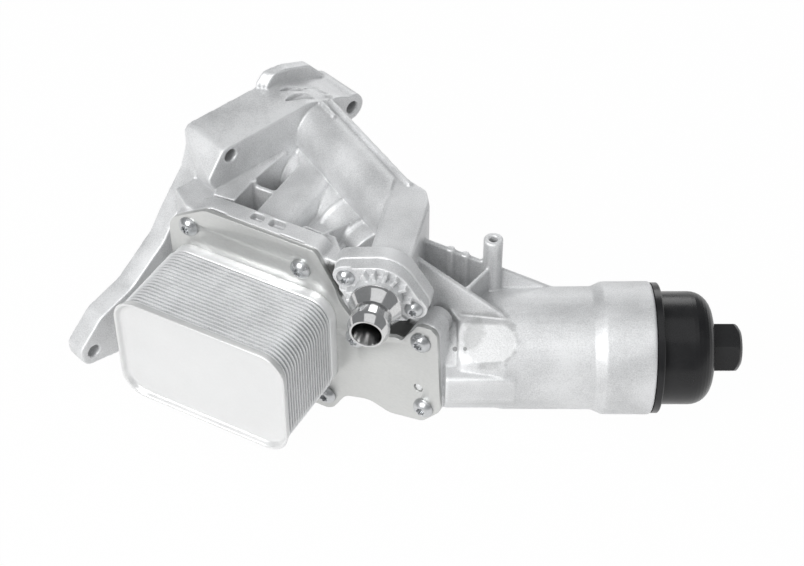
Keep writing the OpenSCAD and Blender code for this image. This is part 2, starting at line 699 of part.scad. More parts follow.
module cooler_cover() {
    color("white") difference() {
        stack_slab(stack_wide + 3, stack_high + 3, stack_corner_r + 1,
            core_front - cover_skin - cover_rim, core_front);
        stack_slab(stack_wide - 1, stack_high - 1, stack_corner_r - 1,
            core_front - cover_skin - cover_rim - lap, core_front - cover_skin);
    }
}
module cooler_channel_seal() {
    color("dimgray") at_cooler() front_slab(base_thick, base_thick + seal_deep) channel_ring(0);
}
module cooler_port_seals() {
    color("dimgray") at_cooler() for (p = port_spots) translate([p[0], 0, p[1]])
        port_ring(port_r, 0, base_thick, base_thick + seal_deep);
}

// Pan head screw along Y, its seat at 0 and its head towards the front
head_high = 4.2;
module pan_screw(long) {
    difference() {
        union() {
            rotate([90, 0, 0]) rotate_extrude() polygon([[0, 0], [screw_head_r, 0], [screw_head_r, 1.4],
                [screw_head_r * 0.86, 3], [screw_head_r * 0.55, 3.9], [0, head_high]]);
            along_y(screw_r, -lap, long);
        }
        front_slab(-head_high - lap, -head_high + 2.4) polygon([for (i = [0 : 11])
            let (r = i % 2 == 0 ? 2.9 : 2) [r * cos(i * 30), r * sin(i * 30)]]);
    }
}
module cooler_screws() {
    color("lightgray") at_cooler() for (p = screw_spots) translate([p[0], 0, p[1]])
        pan_screw(base_thick + tap_deep - 2);
}

// Coolant neck
neck_plate = 8.4;
hub_r = 13.6;
hub_reach = 7.5;
gusset_r = 18.4;
gusset_long = 3.8;
gusset_turns = [-84, -28, -9, 14, 34, 58, 88, 142, 161, 180, 199, 225, 256];
module nipple_flange() {
    color("gainsboro") difference() {
        union() {
            difference() {
                at_pad() front_slab(-neck_plate, 0) neck_outline(-0.6);
                neck_screw_places() along_y(lobe_r + 0.6, -neck_plate - lap, -neck_plate + head_sunk);
            }
            at_pad() {
                along_y(hub_r, -neck_plate - hub_reach, -lap);
                // Gussets round the hub
                for (a = gusset_turns) rotate([0, a, 0])
                    translate([-1, -neck_plate - gusset_long, hub_r - lap])
                    cube([2, gusset_long + lap, gusset_r - hub_r + lap]);
            }
        }
        neck_screw_places() {
            along_y(screw_r + fit_gap, -neck_plate - lap, lap);
            along_y(screw_head_r + 0.5, -neck_plate - 2 * hub_reach, -neck_plate + head_sunk);
        }
        at_pad() along_y(nipple_neck_r + face_gap, -neck_plate - hub_reach - lap, lap);
    }
}
head_sunk = 1.6;
module nipple_screws() {
    color("lightgray") neck_screw_places() translate([0, -neck_plate + head_sunk, 0])
        pan_screw(neck_plate + pad_deep - 3);
}
shoulder_r = 14.8;
shoulder_at = neck_plate + hub_reach + fit_gap;
shoulder_wide = 2.6;
waist_r = 10.4;
tip_r = 9.7;
bead_back = 4.5;
bead_land = 2;
groove_r = 9.6;
groove_front = 4.4;
groove_back = 7;
module coolant_nipple() {
    color("whitesmoke") at_pad() rotate([90, 0, 0]) rotate_extrude($fn = 96) polygon([
        [nipple_bore_r, -spigot_deep], [spigot_r, -spigot_deep], [spigot_r, -groove_back],
            [groove_r, -groove_back],
        [groove_r, -groove_front], [spigot_r, -groove_front], [spigot_r, -collar_thick],
            [collar_seat_r, -collar_thick],
        [collar_seat_r, 0], [nipple_neck_r, 0], [nipple_neck_r, shoulder_at], [shoulder_r - 0.6, shoulder_at],
        [shoulder_r, shoulder_at + 0.6], [shoulder_r, shoulder_at + shoulder_wide],
            [waist_r, shoulder_at + shoulder_wide + 5.6],
        [bead_r, nipple_long - bead_back - bead_land], [bead_r, nipple_long - bead_back],
        [tip_r, nipple_long - 0.6], [tip_r - 0.6, nipple_long], [nipple_bore_r + 0.6, nipple_long],
            [nipple_bore_r, nipple_long - 0.8]]);
}
module nipple_seal() {
    color("dimgray") at_pad() translate([0, (groove_back + groove_front) / 2, 0]) rotate([90, 0, 0])
        rotate_extrude($fn = 96) translate([(groove_r + spigot_r) / 2, 0])
            circle(r = (spigot_r - groove_r) / 2);
}

// Cap, drawn as [radius, distance from the mouth]
skirt_deep = 18;
skirt_r = thread_r - thread_gap;
cap_in_r = cap_r - cap_wall;
module filter_cap() {
    color("#1c1c1e") at_bowl() {
        difference() {
            union() {
                turned([[0, -2], [0, cap_long], [cap_r - cap_shoulder_r, cap_long],
                    for (a = [80 : -10 : 10]) [cap_r - cap_shoulder_r + cap_shoulder_r * cos(a),
                        cap_long - cap_shoulder_r + cap_shoulder_r * sin(a)],
                    [cap_r, cap_long - cap_shoulder_r], [cap_r, 5], [collar_r - 1.4, 4.4],
                        [collar_r - 0.8, 3.8], [collar_r - 0.8, fit_gap],
                    [skirt_r, fit_gap], [skirt_r, -skirt_deep], [cap_in_r, -skirt_deep]]);
                hexagon();
            }
            turned([[0, -skirt_deep - lap], [cap_in_r, -skirt_deep - lap],
                [cap_in_r, cap_long - cap_shoulder_r],
                [cap_in_r - 4, cap_long - 7], [cap_in_r - 10, cap_long - cap_wall - 1],
                    [0, cap_long - cap_wall - 1]]);
            turned([[skirt_r - 2.3, -6.3], [skirt_r + lap, -6.3], [skirt_r + lap, -3], [skirt_r - 2.3, -3]]);
        }
        // Socket that holds the cage's head
        turned([[socket_r, cap_long - cap_wall - socket_deep],
            [socket_r + 2, cap_long - cap_wall - socket_deep], [socket_r + 2, cap_long - cap_wall],
            [socket_r, cap_long - cap_wall]]);
    }
}
socket_r = cage_r + fit_gap;
socket_deep = 11;
hex_lean = 13.3;
hex_r = hex_af / 2 / cos(30);
module hexagon() intersection() {
    translate([cap_long - lap, 0, 0]) rotate([90, 0, 90]) linear_extrude(hex_long + lap)
        rotate(hex_lean) circle(r = hex_r, $fn = 6);
    turned([[0, cap_long - 2 * lap], [hex_r + lap, cap_long - 2 * lap],
        [hex_r + lap, cap_long + hex_long - 6],
        [hex_r - 2.6, cap_long + hex_long - 1.6], [hex_r - 5, cap_long + hex_long],
            [0, cap_long + hex_long]]);
}
cap_cord_r = 1.15;
module cap_seal() {
    color("black") at_bowl() rotate([0, 90, 0]) rotate_extrude($fn = 96)
        translate([thread_r - fit_gap - cap_cord_r, -4.65]) circle(r = cap_cord_r);
}

// Support cage, a moulded tube with windows that clips into the cap
cage_in_r = cage_r - cage_wall;
cage_end = -chamber_deep + 1;
cage_head = cap_long - cap_wall - 1.6;
window_rows = 6;
module support_cage() {
    color("#2a2a2c") at_bowl() {
        difference() {
            union() {
                along_x(cage_r, cage_end + 3, cage_head);
                along_x(outlet_r - fit_gap, cage_end - 13, cage_end + 4);
                along_x(cage_r + 3, cage_end + 3 - 2.4, cage_end + 3);
            }
            along_x(cage_in_r, cage_end + 6, bypass_face);
            along_x(5.6, cage_end - 14, cage_end + 7);
            along_x(bypass_hole_r, bypass_face - lap, cage_head - 3);
            for (i = [0 : window_rows - 1], a = [0 : 60 : 300]) rotate([a, 0, 0])
                translate([cage_end + 10 + i * 11, -3, 0]) cube([8, 6, cage_r + lap]);
            for (a = [0 : 90 : 270]) rotate([a + 45, 0, 0]) translate([bypass_face + 2.4, -3, 0])
                cube([4, 6, cage_r + lap]);
            turned([[outlet_r - 2.2, cage_end - 9], [outlet_r + lap, cage_end - 9],
                [outlet_r + lap, cage_end - 6.4], [outlet_r - 2.2, cage_end - 6.4]]);
        }
    }
}
bypass_hole_r = 6.5;
bypass_face = 13;
outlet_cord_r = 0.93;
module outlet_seal() {
    color("black") at_bowl() rotate([0, 90, 0]) rotate_extrude($fn = 64)
        translate([outlet_r - fit_gap - outlet_cord_r, cage_end - 7.7]) circle(r = outlet_cord_r);
}
// Pleated paper between two moulded end caps
element_from = cage_end + 3;
element_to = 13.5;
module filter_pleats() {
    color("khaki") at_bowl() translate([element_from + end_thick, 0, 0]) rotate([90, 0, 90])
        linear_extrude(element_to - element_from - 2 * end_thick) difference() {
            polygon([for (i = [0 : 2 * pleat_count - 1]) let (r = i % 2 == 0 ? pleat_r : pleat_core_r + 2.4)
                [r * cos(i * 180 / pleat_count), r * sin(i * 180 / pleat_count)]]);
            polygon([for (i = [0 : 2 * pleat_count - 1]) let (r = i % 2 == 0 ? pleat_r - 2.4 : pleat_core_r)
                [r * cos(i * 180 / pleat_count), r * sin(i * 180 / pleat_count)]]);
        }
}
module end_ring(from) turned([[cage_r + fit_gap, from], [pleat_r + 1, from],
    [pleat_r + 1, from + end_thick], [cage_r + fit_gap, from + end_thick]]);
module element_inner_cap() {
    color("#35363a") at_bowl() end_ring(element_from);
}
module element_outer_cap() {
    color("#35363a") at_bowl() end_ring(element_to - end_thick);
}

// Coil spring swept as one tube about the X axis
coil_sides = 8;
coil_steps = 14;
function coil_point(r, long, turns, i) =
    let (a = i * 360 / coil_steps) [long * i / (turns * coil_steps), r * cos(a), r * sin(a)];
function coil_ring(r, wire, long, turns, i) =
    let (a = i * 360 / coil_steps, c = coil_point(r, long, turns, i), out = [0, cos(a), sin(a)])
    [for (k = [0 : coil_sides - 1]) c + wire * (out * cos(k * 360 / coil_sides)
        + [1, 0, 0] * sin(k * 360 / coil_sides))];
module coil(r, wire, long, turns) {
    rings = turns * coil_steps;
    pts = [for (i = [0 : rings]) each coil_ring(r, wire, long, turns, i)];
    polyhedron(points = pts, faces = [
        [for (k = [0 : coil_sides - 1]) k],
        [for (k = [coil_sides - 1 : -1 : 0]) rings * coil_sides + k],
        for (i = [0 : rings - 1], k = [0 : coil_sides - 1]) let (n = (k + 1) % coil_sides)
            [i * coil_sides + k, (i + 1) * coil_sides + k, (i + 1) * coil_sides + n, i * coil_sides + n]]);
}

// Bypass valve in the outer end of the cage
plunger_thick = 2.4;
stem_r = 3;
module bypass_plunger() {
    color("#3a3a3c") at_bowl() {
        along_x(cage_in_r - 1.2, bypass_face - fit_gap - plunger_thick, bypass_face - fit_gap);
        along_x(stem_r, spring_seat_at - lap, bypass_face - plunger_thick);
    }
}
spring_seat_at = bypass_face - 14;
module bypass_spring() {
    color("lightgray") at_bowl() translate([spring_seat_at + 1.1, 0, 0])
        coil(5.5, 0.6, bypass_face - plunger_thick - spring_seat_at - 2.2, 4);
}
module bypass_spring_seat() {
    color("#3a3a3c") at_bowl() difference() {
        along_x(cage_in_r, spring_seat_at - 2, spring_seat_at);
        for (a = [0 : 90 : 270]) rotate([a, 0, 0]) translate([0, 0, 7])
            along_x(2, spring_seat_at - 3, spring_seat_at + 1);
        along_x(stem_r + fit_gap, spring_seat_at - 3, spring_seat_at + 1);
    }
}

// Check valve in the floor of the bowl
check_disc = 2;
module at_check() at_bowl() translate([-check_seat, check_at[0], check_at[1]]) children();
guide_at = check_seat - chamber_deep - 2.5;
module check_valve_disc() {
    color("#3a3a3c") at_check() {
        along_x(check_pocket_r - 1, fit_gap, fit_gap + check_disc);
        along_x(2, fit_gap, guide_at + 1.2);
    }
}
module check_valve_spring() {
    color("lightgray") at_check() translate([fit_gap + check_disc + 0.6, 0, 0])
        coil(4.5, 0.5, guide_at - fit_gap - check_disc - 1.2, 4);
}
module check_valve_guide() {
    color("#3a3a3c") at_check() difference() {
        along_x(check_pocket_r, guide_at, guide_at + 2.5);
        along_x(2 + fit_gap, guide_at - lap, guide_at + 3.5);
        for (a = [0 : 90 : 270]) rotate([a, 0, 0]) translate([0, 0, 6])
            along_x(1.8, guide_at - lap, guide_at + 3.5);
    }
}
module coolant_port_seal() {
    color("dimgray") at_block() translate([duct_x, 0, -duct_drop]) port_ring(duct_bore_r, 0, -seal_deep, 0);
}
module oil_port_seals() {
    color("dimgray") at_block() for (p = [oil_in_at, oil_out_at])
        translate([p[0], 0, p[1]]) port_ring(oil_bore_r, 0, -seal_deep, 0);
}

housing();
cooler_base_plate();
cooler_foot_plate();
cooler_core_plates();
cooler_cover();
cooler_channel_seal();
cooler_port_seals();
cooler_screws();
coolant_nipple();
nipple_flange();
nipple_seal();
nipple_screws();
filter_cap();
cap_seal();
support_cage();
outlet_seal();
filter_pleats();
element_inner_cap();
element_outer_cap();
bypass_plunger();
bypass_spring();
bypass_spring_seat();
check_valve_disc();
check_valve_spring();
check_valve_guide();
coolant_port_seal();
oil_port_seals();
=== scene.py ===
from math import cos, pi, radians

import bmesh
import bpy
from mathutils import Matrix, Vector


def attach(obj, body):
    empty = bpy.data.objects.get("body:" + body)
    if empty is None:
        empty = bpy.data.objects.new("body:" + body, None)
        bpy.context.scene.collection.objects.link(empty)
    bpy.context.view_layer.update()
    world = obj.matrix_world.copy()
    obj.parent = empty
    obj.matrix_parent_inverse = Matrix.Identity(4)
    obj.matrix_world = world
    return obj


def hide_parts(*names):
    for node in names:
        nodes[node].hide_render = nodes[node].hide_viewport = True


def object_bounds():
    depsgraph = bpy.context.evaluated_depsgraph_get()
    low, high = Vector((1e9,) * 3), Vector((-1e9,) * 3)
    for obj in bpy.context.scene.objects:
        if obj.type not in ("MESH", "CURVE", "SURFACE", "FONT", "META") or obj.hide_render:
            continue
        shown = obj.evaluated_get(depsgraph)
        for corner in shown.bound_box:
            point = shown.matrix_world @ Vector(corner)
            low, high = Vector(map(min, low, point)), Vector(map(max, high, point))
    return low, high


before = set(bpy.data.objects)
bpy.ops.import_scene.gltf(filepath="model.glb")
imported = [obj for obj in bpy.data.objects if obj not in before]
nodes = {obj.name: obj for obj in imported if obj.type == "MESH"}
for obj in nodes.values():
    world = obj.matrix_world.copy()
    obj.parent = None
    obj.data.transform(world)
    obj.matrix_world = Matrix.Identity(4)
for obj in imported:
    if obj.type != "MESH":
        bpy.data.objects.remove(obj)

cad_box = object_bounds()


# Studio: a pale table top that reads as plain white, a wide soft lamp on the left front,
# a weaker one overhead and a faint one behind. The camera looks 43 degrees down.

def shader_node(tree, kind, values=(), **settings):
    """A node whose sockets hold the values, or are linked where a value is a socket."""
    made = tree.nodes.new(kind)
    for name, value in settings.items():
        setattr(made, name, value)
    for name, value in dict(values).items():
        if isinstance(value, bpy.types.NodeSocket):
            tree.links.new(value, made.inputs[name])
        else:
            made.inputs[name].default_value = value
    return made


def math_node(tree, operation, *values, clamp=False):
    made = shader_node(tree, "ShaderNodeMath", dict(enumerate(values)), operation=operation,
                       use_clamp=clamp)
    return made.outputs[0]


def blank_material(name):
    material = bpy.data.materials.new(name)
    material.use_nodes = True
    material.node_tree.nodes.clear()
    output = material.node_tree.nodes.new("ShaderNodeOutputMaterial")
    return material, material.node_tree, output


def make_mesh(shape, name):
    mesh = bpy.data.meshes.new(name)
    shape.to_mesh(mesh)
    shape.free()
    return mesh


def add_object(name, data):
    made = bpy.data.objects.new(name, data)
    bpy.context.collection.objects.link(made)
    return made


table_size = 6.0
table_gap = 0.0005
table_grey = (0.8, 0.8, 0.8, 1)
plain_white = (1, 1, 1, 1)
white_share = 0.985
sheet = bmesh.new()
bmesh.ops.create_grid(sheet, x_segments=1, y_segments=1, size=table_size / 2)
bmesh.ops.translate(sheet, verts=sheet.verts, vec=(0, 0, cad_box[0].z - table_gap))
table_top = add_object("table_top", make_mesh(sheet, "table_top"))
table_paint, tree, output = blank_material("table_paint")
paint = shader_node(tree, "ShaderNodeBsdfDiffuse", {"Color": table_grey})
glow = shader_node(tree, "ShaderNodeEmission", {"Color": plain_white, "Strength": 1.0})
rays = shader_node(tree, "ShaderNodeLightPath").outputs
seen = math_node(tree, "MAXIMUM", rays["Is Camera Ray"], rays["Is Glossy Ray"])
seen_all = math_node(tree, "MAXIMUM", seen, rays["Is Transmission Ray"])
share = math_node(tree, "MULTIPLY", seen_all, white_share)
blend = shader_node(tree, "ShaderNodeMixShader",
                    {0: share, 1: paint.outputs[0], 2: glow.outputs[0]})
tree.links.new(blend.outputs[0], output.inputs["Surface"])
table_top.data.materials.append(table_paint)

world = bpy.data.worlds.new("studio_air")
world.use_nodes = True
air = world.node_tree.nodes["Background"].inputs
air["Color"].default_value = (0.96, 0.98, 1.0, 1)
air["Strength"].default_value = 0.3
bpy.context.scene.world = world

part_middle = (cad_box[0] + cad_box[1]) / 2


def soft_lamp(name, place, size, watts):
    """A square lamp that points at the middle of the part."""
    lamp = bpy.data.lights.new(name, "AREA")
    lamp.shape = "SQUARE"
    lamp.size = size
    lamp.energy = watts
    aim = part_middle - Vector(place)
    holder = add_object(name, lamp)
    holder.location = place
    holder.rotation_euler = aim.to_track_quat("-Z", "Y").to_euler()


soft_lamp("left_lamp", (-0.75, -1.15, 1.05), size=0.9, watts=24)
soft_lamp("top_lamp", (0.2, -0.4, 1.5), size=1.5, watts=5)
soft_lamp("back_lamp", (0.4, 1.2, 0.5), size=0.6, watts=3)

looks_down = 43
camera_data = bpy.data.cameras.new("camera")
camera_data.lens = 80.33
camera_data.clip_end = 20
camera = add_object("camera", camera_data)
camera.location = (0.1223, -0.8359, 0.6555)
camera.rotation_euler = (radians(90 - looks_down), 0, 0)
bpy.context.scene.camera = camera
bpy.context.scene.view_settings.view_transform = "Standard"


# Housing: one aluminium die casting, shot blasted, with machined faces where it meets the
# block and the cooler. The die leaves its edges and corners rounded. The dark patches under the
# neck pad, beside the base plate and on the bowl next to the rib are painted shade; two small
# dots are dirt.

MM = 0.001


def map_range(tree, value, low, high, to_low=0.0, to_high=1.0, **settings):
    sockets = {"Value": value, "From Min": low, "From Max": high, "To Min": to_low,
               "To Max": to_high}
    return shader_node(tree, "ShaderNodeMapRange", sockets, **settings).outputs[0]


def start_group(name, vectors, numbers, results):
    """A node group with its named inputs and outputs."""
    group = bpy.data.node_groups.new(name, "ShaderNodeTree")
    for kind, way, labels in (("NodeSocketVector", "INPUT", vectors),
                              ("NodeSocketFloat", "INPUT", numbers),
                              ("NodeSocketFloat", "OUTPUT", results)):
        for label in labels:
            group.interface.new_socket(label, in_out=way, socket_type=kind)
    given = shader_node(group, "NodeGroupInput").outputs
    result = shader_node(group, "NodeGroupOutput").inputs
    return group, given, result


def grain_and_edge_shade_group():
    """Fine grain, broad patches, a height for the bump, and an edge measure: convex edges towards
    1, hollows towards -1, for worn edges with painted highlight and for painted shade in creases.
    """
    group, given, result = start_group("grain_and_edge_shade", ["Vector"], ["Grain Scale", "Patch Scale"],
                                       ["Grain", "Patch", "Height", "Edge"])
    swell_share, hollow, ridge = 0.22, 0.44, 0.56
    grain = shader_node(group, "ShaderNodeTexNoise",
                        {"Vector": given["Vector"], "Scale": given["Grain Scale"],
                         "Detail": 3.0, "Roughness": 0.6})
    swell_scale = math_node(group, "MULTIPLY", given["Grain Scale"], swell_share)
    swell = shader_node(group, "ShaderNodeTexNoise",
                        {"Vector": given["Vector"], "Scale": swell_scale, "Detail": 2.0})
    patch = shader_node(group, "ShaderNodeTexNoise",
                        {"Vector": given["Vector"], "Scale": given["Patch Scale"],
                         "Detail": 5.0, "Roughness": 0.55})
    height = math_node(group, "ADD", grain.outputs["Fac"], swell.outputs["Fac"])
    form = shader_node(group, "ShaderNodeNewGeometry")
    edge = map_range(group, form.outputs["Pointiness"], hollow, ridge, -1.0, 1.0)
    for label, value in (("Grain", grain.outputs["Fac"]), ("Patch", patch.outputs["Fac"]),
                         ("Height", height), ("Edge", edge)):
        group.links.new(value, result[label])
    return group


def dirt_and_shade_spot_group():
    """A round dark spot with a ragged edge, used both for dirt and for painted shade, measured in
    its own radius from the centre.
    """
    group, given, result = start_group("dirt_and_shade_spot", ["Vector", "Centre"], ["Radius", "Strength"],
                                       ["Mask"])
    raggedness, full_at, clean_at = 0.5, 1.05, 1.3
    away = shader_node(group, "ShaderNodeVectorMath",
                       {0: given["Vector"], 1: given["Centre"]}, operation="DISTANCE")
    ragged = shader_node(group, "ShaderNodeTexNoise",
                         {"Vector": given["Vector"], "Scale": 260.0, "Detail": 3.0})
    radii = math_node(group, "DIVIDE", away.outputs["Value"], given["Radius"])
    uneven = math_node(group, "MULTIPLY_ADD", ragged.outputs["Fac"], raggedness, radii)
    mask = map_range(group, uneven, full_at, clean_at, given["Strength"], 0.0,
                     interpolation_type="SMOOTHSTEP")
    group.links.new(mask, result["Mask"])
    return group


grain_and_edge_shade = grain_and_edge_shade_group()
dirt_and_shade_spot = dirt_and_shade_spot_group()
dirt_and_shade_black = (0.03, 0.031, 0.028, 1)
noise_span = (0.3, 0.7)
dull_span = (0.35, 0.65)


def finish_material(name, dark, light, metal, rough, grain, patch, bump, stretch=(1, 1, 1),
                    turn=(0, 0, 0), specular=0.5, speck=0.35, edge_wear_and_shade=0.0, dirt_and_shade_spots=()):
    """Patches between two colours and two roughnesses, with grain, lighter edges (wear and
    painted highlight), darker creases (painted shade) and dark spots (dirt and painted shade).
    The bump is a strength and a distance, and a spot is a centre, a radius and a strength."""
    material, tree, output = blank_material(name)
    place = shader_node(tree, "ShaderNodeTexCoord").outputs["Object"]
    brush = shader_node(tree, "ShaderNodeMapping",
                        {"Vector": place, "Rotation": turn, "Scale": stretch})
    skin = shader_node(tree, "ShaderNodeGroup", node_tree=grain_and_edge_shade)
    tree.links.new(brush.outputs[0], skin.inputs["Vector"])
    skin.inputs["Grain Scale"].default_value = grain
    skin.inputs["Patch Scale"].default_value = patch
    specks = map_range(tree, skin.outputs["Grain"], *noise_span, -speck, speck)
    level = map_range(tree, skin.outputs["Patch"], *noise_span)
    # Convex edges get lighter, partly wear and partly painted highlight; creases and hollows get
    # darker, which is painted shade.
    edged_level = math_node(tree, "MULTIPLY_ADD", skin.outputs["Edge"], edge_wear_and_shade, level)
    total = math_node(tree, "ADD", specks, edged_level, clamp=True)
    ramp = shader_node(tree, "ShaderNodeValToRGB", {"Fac": total})
    ramp.color_ramp.elements[0].color = (*dark, 1)
    ramp.color_ramp.elements[1].color = (*light, 1)
    tint = ramp.outputs["Color"]
    # Each spot blends the colour towards black: dirt in two places, painted shade in the others.
    for centre, radius, strength in dirt_and_shade_spots:
        spot = shader_node(tree, "ShaderNodeGroup", node_tree=dirt_and_shade_spot)
        tree.links.new(place, spot.inputs["Vector"])
        spot.inputs["Centre"].default_value = [value * MM for value in centre]
        spot.inputs["Radius"].default_value = radius * MM
        spot.inputs["Strength"].default_value = strength
        darkened = shader_node(tree, "ShaderNodeMixRGB",
                             {"Fac": spot.outputs["Mask"], "Color1": tint, "Color2": dirt_and_shade_black})
        tint = darkened.outputs["Color"]
    dull = map_range(tree, skin.outputs["Patch"], *dull_span, *rough)
    relief = shader_node(tree, "ShaderNodeBump",
                         {"Height": skin.outputs["Height"], "Strength": bump[0],
                          "Distance": bump[1]})
    surface = shader_node(tree, "ShaderNodeBsdfPrincipled",
                          {"Base Color": tint, "Metallic": metal, "Roughness": dull,
                           "Normal": relief.outputs[0], "Specular IOR Level": specular})
    tree.links.new(surface.outputs[0], output.inputs["Surface"])
    return material


cast_finish = {"dark": (0.58, 0.585, 0.59), "light": (0.82, 0.825, 0.83), "metal": 0.5,
               "rough": (0.44, 0.58), "grain": 1500, "patch": 30, "bump": (0.45, 0.0003),
               "speck": 0.45, "edge_wear_and_shade": 0.9}
# Painted shade: the dark patches under the neck pad, beside the base plate and on the bowl next
# to the rib. The two small dots are dirt.
painted_shade_under_neck = ((119, -104, -58), 14, 0.95)
painted_shade_beside_plate = ((82, -93, -36), 12.5, 0.9)
left_dot = ((152.3, -117.6, -65.5), 1.5, 0.6)
right_dot = ((157.9, -119.3, -63.7), 1.2, 0.5)
bowl_painted_shade = ((172, -117, -59), 17, 0.3)
left_painted_shade = ((158, -112, -57), 12, 0.2)
housing_metal = finish_material("housing_metal", **cast_finish,
                                dirt_and_shade_spots=(painted_shade_under_neck, painted_shade_beside_plate, left_dot, right_dot,
                                        bowl_painted_shade, left_painted_shade))


def baked_copy(source, name, *modifiers):
    """An object with its modifiers applied."""
    shape = add_object(name, source)
    for kind, settings in modifiers:
        added = shape.modifiers.new(kind.lower(), kind)
        for key, value in settings.items():
            setattr(added, key, value)
    seen_now = bpy.context.evaluated_depsgraph_get()
    baked = bpy.data.meshes.new_from_object(shape.evaluated_get(seen_now))
    shape.modifiers.clear()
    shape.data = baked
    return shape


weld_gap = 0.01 * MM


def welded_copy(node):
    """A CAD node's loose triangles, joined into one shape."""
    welded = bmesh.new()
    welded.from_mesh(nodes[node].data)
    bmesh.ops.remove_doubles(welded, verts=welded.verts, dist=weld_gap)
    return welded


def fit_piece(shape, body, node, material):
    shape.data.materials.clear()
    shape.data.materials.append(material)
    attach(shape, body)
    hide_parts(node)


cast_housing = baked_copy(make_mesh(welded_copy("housing"), "housing_shape"), "cast_housing",
                          ("REMESH", {"mode": "VOXEL", "voxel_size": 0.7 * MM}),
                          ("SMOOTH", {"factor": 0.5, "iterations": 6}),
                          ("DECIMATE", {"ratio": 0.155}))
cast_housing.data.shade_smooth()
fit_piece(cast_housing, "casting", "housing", housing_metal)


# Oil cooler: pressed aluminium plates, nested and brazed into one block on a thick rolled
# base plate. The base plate is brushed; the front cover is dished and nearly white.

def turned_by(degrees, axis="Z"):
    return Matrix.Rotation(radians(degrees), 4, axis)


cooler_turn = 28.5
cooler_place = Matrix.Translation((0.143, -0.128, -0.084)) @ turned_by(-cooler_turn)
stack_middle = Vector((-121.5 * MM, 0, 2 * MM))
stack_wide, stack_high, stack_corner = 111 * MM, 72 * MM, 15 * MM
foot_deep, plate_count, plate_pitch = 7 * MM, 19, 2.6 * MM
core_front = -foot_deep - plate_count * plate_pitch

plate_metal = finish_material("plate_metal", dark=(0.60, 0.605, 0.595),
                              light=(0.70, 0.705, 0.69), metal=0.75, rough=(0.30, 0.40),
                              grain=900, patch=12, bump=(0.12, 0.0001), stretch=(0.12, 1, 1),
                              turn=(0, 0, radians(cooler_turn)), speck=0.2)
# The core's high edge setting paints highlights along the plate edges and shade in the grooves
# between plates.
core_metal = finish_material("core_metal", dark=(0.56, 0.565, 0.57), light=(0.92, 0.925, 0.93),
                             metal=0.5, rough=(0.34, 0.46), grain=900, patch=40,
                             bump=(0.15, 0.0001), speck=0.25, edge_wear_and_shade=1.3)
cover_metal = finish_material("cover_metal", dark=(0.76, 0.762, 0.76),
                              light=(0.82, 0.822, 0.82), metal=0.45, rough=(0.28, 0.38),
                              grain=700, patch=14, bump=(0.08, 0.0002), speck=0.15)


def shaded_mesh(shape, name, sharp_at):
    """A smooth mesh that stays sharp at edges of more than sharp_at degrees."""
    for face in shape.faces:
        face.smooth = True
    for edge in shape.edges:
        edge.smooth = edge.calc_face_angle(0) < radians(sharp_at)
    return make_mesh(shape, name)


def pressed_sheet(name, back, inset, corner, profile, sharp_at):
    """Draws a rounded rectangle forward from its back, which is inset from the stack's outline.
    The profile says how far each step stands outside that outline, and at what depth."""
    now = (stack_wide - 2 * inset, stack_high - 2 * inset)
    shape = bmesh.new()
    bmesh.ops.create_grid(shape, x_segments=1, y_segments=1, size=0.5)
    bmesh.ops.scale(shape, vec=(*now, 1), verts=shape.verts)
    bmesh.ops.bevel(shape, geom=shape.verts[:], offset=corner, offset_type="OFFSET",
                    segments=10, profile=0.5, affect="VERTICES", material=-1)
    bmesh.ops.rotate(shape, cent=(0, 0, 0), matrix=Matrix.Rotation(pi / 2, 3, "X"),
                     verts=shape.verts)
    bmesh.ops.translate(shape, vec=stack_middle + Vector((0, back, 0)), verts=shape.verts)
    shape.faces.ensure_lookup_table()
    rear = front = shape.faces[0]
    for spread, depth in profile:
        grown = bmesh.ops.extrude_face_region(shape, geom=[front])["geom"]
        if front != rear:
            bmesh.ops.delete(shape, geom=[front], context="FACES_ONLY")
        front = next(part for part in grown if isinstance(part, bmesh.types.BMFace))
        new = (stack_wide + 2 * spread, stack_high + 2 * spread)
        forward = depth - front.calc_center_median().y
        bmesh.ops.translate(shape, vec=(0, forward, 0), verts=front.verts)
        bmesh.ops.scale(shape, vec=(new[0] / now[0], 1, new[1] / now[1]), verts=front.verts,
                        space=Matrix.Translation(-stack_middle))
        now = new
    bmesh.ops.recalc_face_normals(shape, faces=shape.faces)
    bmesh.ops.transform(shape, matrix=cooler_place, verts=shape.verts)
    return add_object(name, shaded_mesh(shape, name, sharp_at))


def profile_at(datum, steps):
    """Steps in millimetres, from a datum in metres."""
    return [(spread * MM, datum + depth * MM) for spread, depth in steps]


pan_steps = ((-1.2, 2.58), (-0.25, 0.8), (0, 0.5), (-0.08, 0.12), (-1.1, 0.02))
core_profile = [step for plate in range(1, plate_count + 1)
                for step in profile_at(-foot_deep - plate * plate_pitch, pan_steps)]
core_inset = 1 * MM
core_plates = pressed_sheet("core_plates", -foot_deep, core_inset, stack_corner - core_inset,
                            core_profile, sharp_at=50)
fit_piece(core_plates, "casting", "cooler_core_plates", core_metal)

foot_inset = 0.7 * MM
foot_steps = ((-0.5, -0.4), (-0.5, -5.8), (-0.7, -6.5), (-1.2, -6.9), (-1.9, -7))
foot_plate = pressed_sheet("foot_plate", 0, foot_inset, stack_corner,
                           profile_at(0, foot_steps), sharp_at=60)
fit_piece(foot_plate, "casting", "cooler_foot_plate", core_metal)

rim_steps = ((0.5, -0.6), (1.25, -3.8), (1.5, -4.4), (1.4, -4.8), (1.05, -5), (0.55, -5),
             (0.15, -4.75), (-0.2, -4.2))
dish_steps = ((-0.7, -3), (-1.1, -2.3), (-1.8, -1.8), (-3.2, -1.5), (-6, -1.5))
cover = pressed_sheet("front_cover", core_front, 0, stack_corner,
                      profile_at(core_front, rim_steps + dish_steps), sharp_at=70)
fit_piece(cover, "casting", "cooler_cover", cover_metal)

